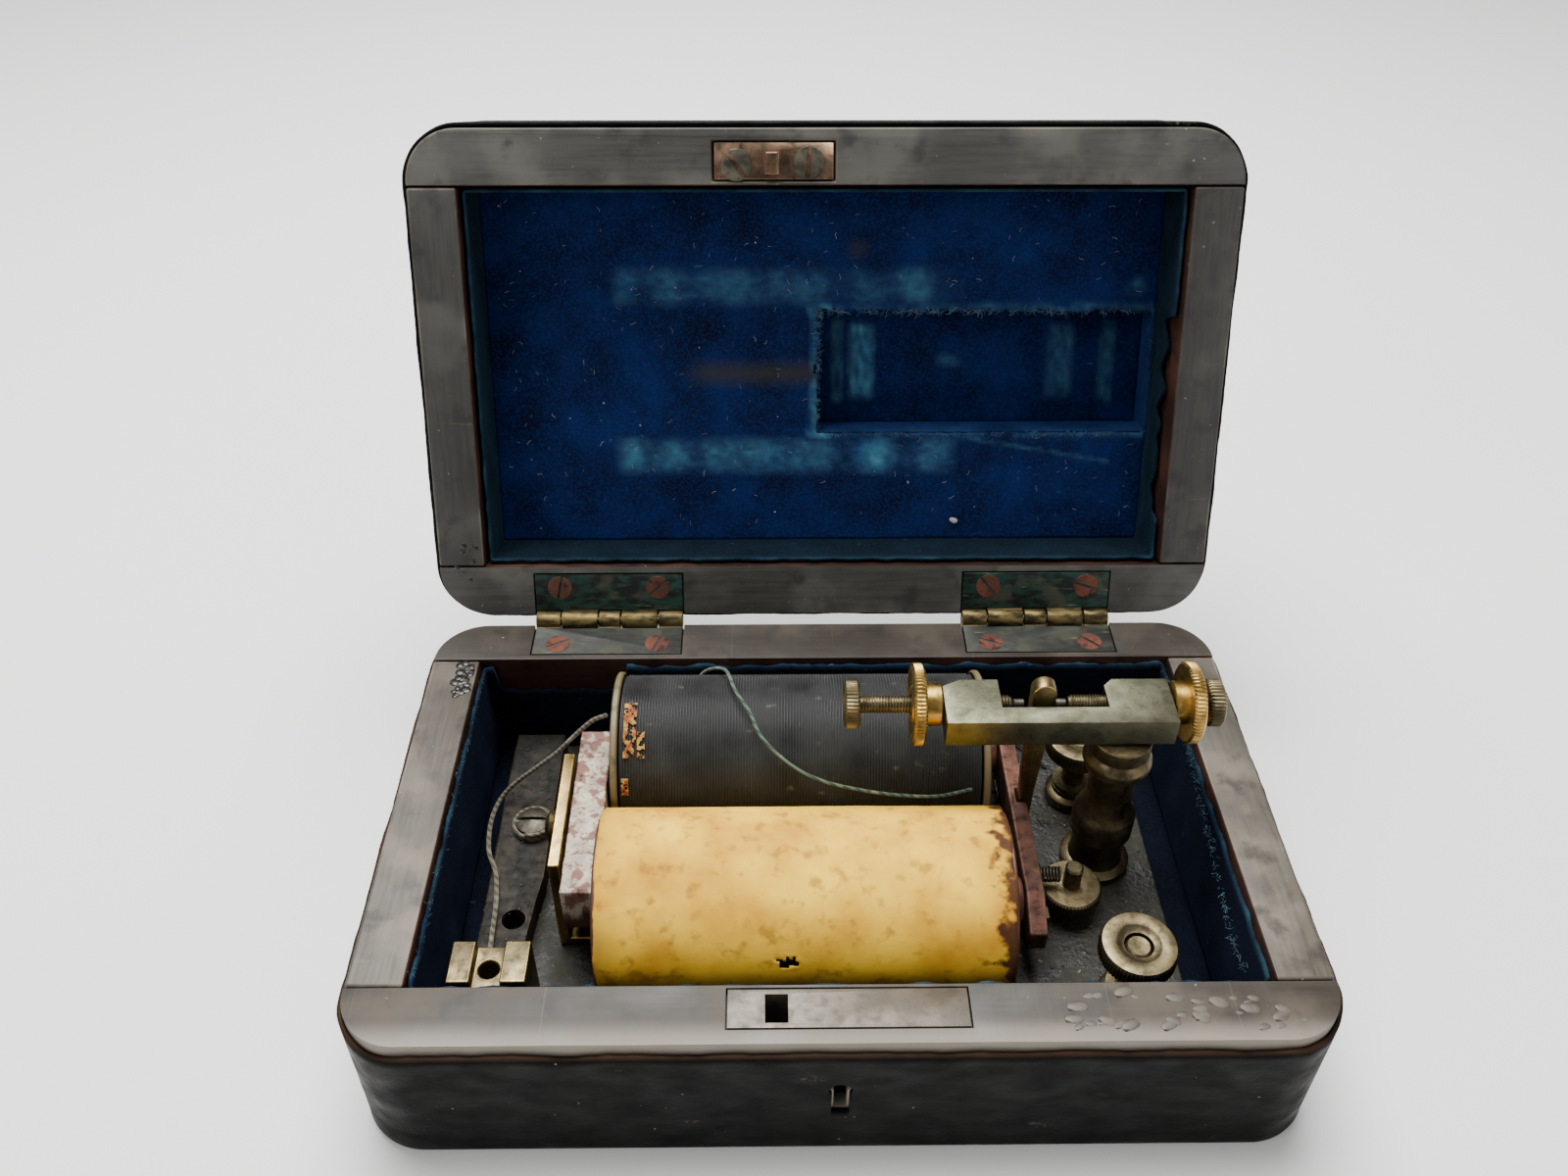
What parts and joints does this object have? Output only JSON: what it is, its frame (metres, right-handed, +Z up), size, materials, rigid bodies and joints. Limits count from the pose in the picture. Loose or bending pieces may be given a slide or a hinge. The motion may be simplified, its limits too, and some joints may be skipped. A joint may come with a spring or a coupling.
{
  "type": "pocket telegraph relay in case",
  "caption": "Pocket relay with twin coils, sprung armature and contact bridge, in a hinged leather-covered wooden case lined with velvet.",
  "frame": {"origin": "centre of the underside of the case's base", "axes": "+Z up, +X to the right seen from the lock side, -Y towards the lock side"},
  "size_m": [0.15, 0.1507, 0.1151],
  "materials": {
    "base_wood": "worn grey-brown wood, scratched",
    "lid_wood": "charcoal-grey worn wood",
    "case_leather": "near-black grained leather, scuffed",
    "velvet_lining": "navy velvet with worn teal patches",
    "aged_brass": "aged olive brass, dull",
    "bright_brass": "rubbed golden brass",
    "dark_brass": "grey-olive tarnished brass",
    "hinge_patina": "green-black patinated brass",
    "copper_plate": "brown copper-toned plate",
    "painted_iron": "pale paint speckled with rust",
    "rusty_iron": "reddish-brown rusted iron",
    "terminal_strip": "brown-grey tarnished strip",
    "hard_rubber": "rough grey-green hard rubber",
    "bobbin_flange": "pale yellowed fibre",
    "black_winding": "black silk-covered wire, finely ribbed",
    "yellow_paper": "stained yellow-tan paper",
    "platinum_tip": "bright contact metal",
    "spring_steel": "dark spring wire",
    "green_silk": "faded green silk covering",
    "brown_cotton": "brown cotton covering",
    "dark_cotton": "dark cotton covering"
  },
  "bodies": {
    "root": {"base_front_wall": "base_wood", "base_back_wall": "base_wood", "base_left_wall": "base_wood", "base_right_wall": "base_wood", "base_bottom_board": "base_wood", "base_leather_sides": "case_leather", "base_leather_bottom": "case_leather", "base_velvet": "velvet_lining", "lock_body": "aged_brass", "terminal_block": "aged_brass", "yoke_bracket": "aged_brass", "pivot_bracket": "aged_brass", "bridge_post": "aged_brass", "front_binding_post": "aged_brass", "rear_binding_post": "aged_brass", "terminal_screw": "aged_brass", "yoke_screw": "aged_brass", "hinge_pin_left": "bright_brass", "hinge_pin_right": "bright_brass", "contact_bridge": "dark_brass", "base_hinge_leaf_left": "hinge_patina", "base_hinge_leaf_right": "hinge_patina", "yoke": "painted_iron", "front_core": "rusty_iron", "rear_core": "rusty_iron", "terminal_bar": "terminal_strip", "relay_bed": "hard_rubber", "front_bobbin": "bobbin_flange", "rear_bobbin": "bobbin_flange", "front_winding": "black_winding", "rear_winding": "black_winding", "paper_wrap": "yellow_paper", "armature_spring": "spring_steel", "coil_wire": "green_silk", "lead_wire": "brown_cotton", "rear_wire": "dark_cotton"},
    "lid": {"lid_front_wall": "lid_wood", "lid_back_wall": "lid_wood", "lid_left_wall": "lid_wood", "lid_right_wall": "lid_wood", "lid_top_board": "lid_wood", "lid_leather": "case_leather", "lid_velvet": "velvet_lining", "lid_hinge_leaf_left": "hinge_patina", "lid_hinge_leaf_right": "hinge_patina", "lid_link_plate": "copper_plate"},
    "armature": {"armature": "rusty_iron", "contact_lever": "bright_brass", "armature_arbor": "dark_brass"},
    "left_tip": {"left_contact_tip": "platinum_tip"},
    "left_screw": {"left_contact_screw": "bright_brass"},
    "left_nut": {"left_lock_nut": "bright_brass"},
    "right_tip": {"right_contact_tip": "platinum_tip"},
    "right_screw": {"right_contact_screw": "bright_brass"},
    "right_nut": {"right_lock_nut": "bright_brass"},
    "front_nut": {"front_thumb_nut": "bright_brass"},
    "rear_nut": {"rear_thumb_nut": "bright_brass"},
    "spring_post": {"spring_post": "aged_brass"},
    "lock_bolt": {"lock_bolt": "aged_brass"}
  },
  "joints": [
    {"name": "lid_hinge", "type": "hinge", "parent": "root", "child": "lid", "pos_m": [0, 0.04625, 0.02915], "axis": [1, 0, 0], "range_deg": [0, 110.45]},
    {"name": "armature_pivot", "type": "hinge", "parent": "root", "child": "armature", "pos_m": [0.0338, 0, 0.0154], "axis": [0, 1, 0], "range_deg": [-1, 0], "stiffness_Nm_per_rad": 0.02, "springref_deg": 2.86},
    {"name": "left_contact_slide", "type": "slide", "parent": "root", "child": "left_tip", "axis": [-1, 0, 0], "range_m": [0, 0.0005]},
    {"name": "left_contact_turn", "type": "hinge", "parent": "left_tip", "child": "left_screw", "pos_m": [0, 0.0052, 0.0469], "axis": [-1, 0, 0], "range_deg": [0, 361]},
    {"name": "left_lock_nut_turn", "type": "hinge", "parent": "root", "child": "left_nut", "pos_m": [0, 0.0052, 0.0469], "axis": [-1, 0, 0], "range_deg": [0, 90]},
    {"name": "right_contact_slide", "type": "slide", "parent": "root", "child": "right_tip", "axis": [1, 0, 0], "range_m": [0, 0.0005]},
    {"name": "right_contact_turn", "type": "hinge", "parent": "right_tip", "child": "right_screw", "pos_m": [0, 0.0052, 0.0469], "axis": [1, 0, 0], "range_deg": [0, 361]},
    {"name": "right_lock_nut_turn", "type": "hinge", "parent": "root", "child": "right_nut", "pos_m": [0, 0.0052, 0.0469], "axis": [1, 0, 0], "range_deg": [0, 90]},
    {"name": "front_thumb_nut_turn", "type": "hinge", "parent": "root", "child": "front_nut", "pos_m": [0.0463, -0.0278, 0.026], "axis": [0, 0, 1], "range_deg": [0, 360]},
    {"name": "rear_thumb_nut_turn", "type": "hinge", "parent": "root", "child": "rear_nut", "pos_m": [0.0452, 0.0155, 0.026], "axis": [0, 0, 1], "range_deg": [0, 360]},
    {"name": "spring_post_turn", "type": "hinge", "parent": "root", "child": "spring_post", "pos_m": [0.0405, -0.009, 0.016], "axis": [0, 0, 1], "range_deg": [-180, 180]},
    {"name": "lock_bolt_slide", "type": "slide", "parent": "root", "child": "lock_bolt", "axis": [-1, 0, 0], "range_m": [0, 0.0044]}
  ],
  "couplings": [
    {"joint": "left_contact_turn", "follows": "left_contact_slide", "rad_per_m": 12566},
    {"joint": "right_contact_turn", "follows": "right_contact_slide", "rad_per_m": 12566}
  ]
}
